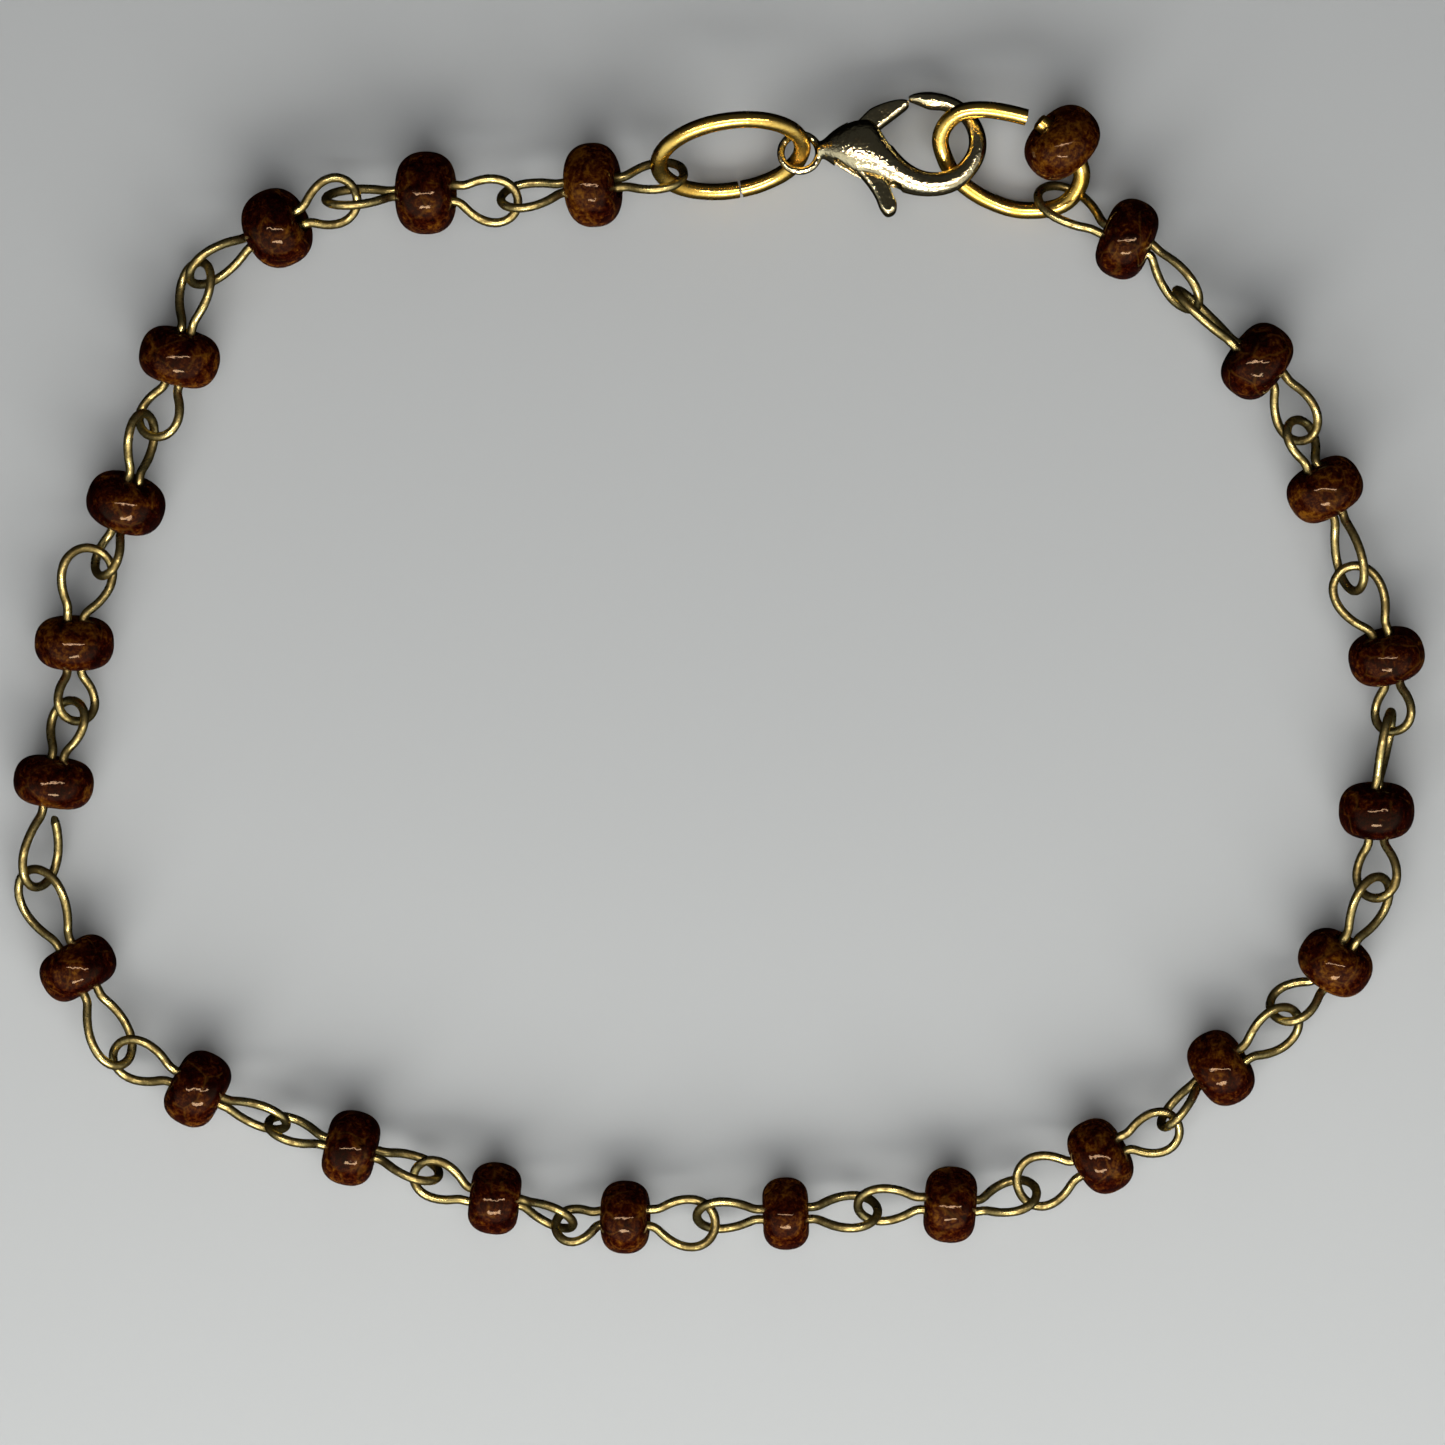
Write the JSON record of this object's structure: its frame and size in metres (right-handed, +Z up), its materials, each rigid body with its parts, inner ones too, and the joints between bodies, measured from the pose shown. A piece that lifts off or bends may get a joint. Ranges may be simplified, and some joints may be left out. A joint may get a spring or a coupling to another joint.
{
  "type": "beaded wire bracelet",
  "caption": "Fastened bracelet of round glass beads on hooked wire links, with oval jump rings and a sprung lobster clasp, lying in a loop",
  "frame": {"origin": "the middle of the bounding box's underside, on the surface that the bracelet lies on", "axes": "+Z up off the surface; +X along the longer side of the loop, from the left jump ring towards the hook; +Y towards the side where the clasp lies"},
  "size_m": [0.0706, 0.0582, 0.0045],
  "materials": {
    "bead_glass": "glossy dark amber-brown glass, mottled and nearly opaque",
    "link_wire": "aged brass wire with dark tarnish and bright nicks",
    "ring_gold": "bright yellow gold plating",
    "clasp_gold": "pale champagne gold plating, polished"
  },
  "bodies": {
    "bracelet": {"bead_01": "bead_glass", "bead_02": "bead_glass", "bead_03": "bead_glass", "bead_04": "bead_glass", "bead_05": "bead_glass", "bead_06": "bead_glass", "bead_07": "bead_glass", "bead_08": "bead_glass", "bead_09": "bead_glass", "bead_10": "bead_glass", "bead_11": "bead_glass", "bead_12": "bead_glass", "bead_13": "bead_glass", "bead_14": "bead_glass", "bead_15": "bead_glass", "bead_16": "bead_glass", "bead_17": "bead_glass", "bead_18": "bead_glass", "bead_19": "bead_glass", "bead_20": "bead_glass", "bead_21": "bead_glass", "bead_22": "bead_glass", "link_01": "link_wire", "link_02": "link_wire", "link_03": "link_wire", "link_04": "link_wire", "link_05": "link_wire", "link_06": "link_wire", "link_07": "link_wire", "link_08": "link_wire", "link_09": "link_wire", "link_10": "link_wire", "link_11": "link_wire", "link_12": "link_wire", "link_13": "link_wire", "link_14": "link_wire", "link_15": "link_wire", "link_16": "link_wire", "link_17": "link_wire", "link_18": "link_wire", "link_19": "link_wire", "link_20": "link_wire", "link_21": "link_wire", "link_22": "link_wire", "end_bead": "bead_glass", "jump_ring_left": "ring_gold", "jump_ring_right": "ring_gold", "clasp_body": "clasp_gold", "clasp_rivet": "clasp_gold"},
    "lever": {"clasp_lever": "clasp_gold"}
  },
  "joints": [
    {"name": "lever_pivot", "type": "hinge", "parent": "bracelet", "child": "lever", "pos_m": [0.00644, 0.02608, 0.00186], "axis": [0.0171, -0.2079, -0.978], "range_deg": [0, 20], "stiffness_Nm_per_rad": 0.004, "springref_deg": -8.59}
  ]
}
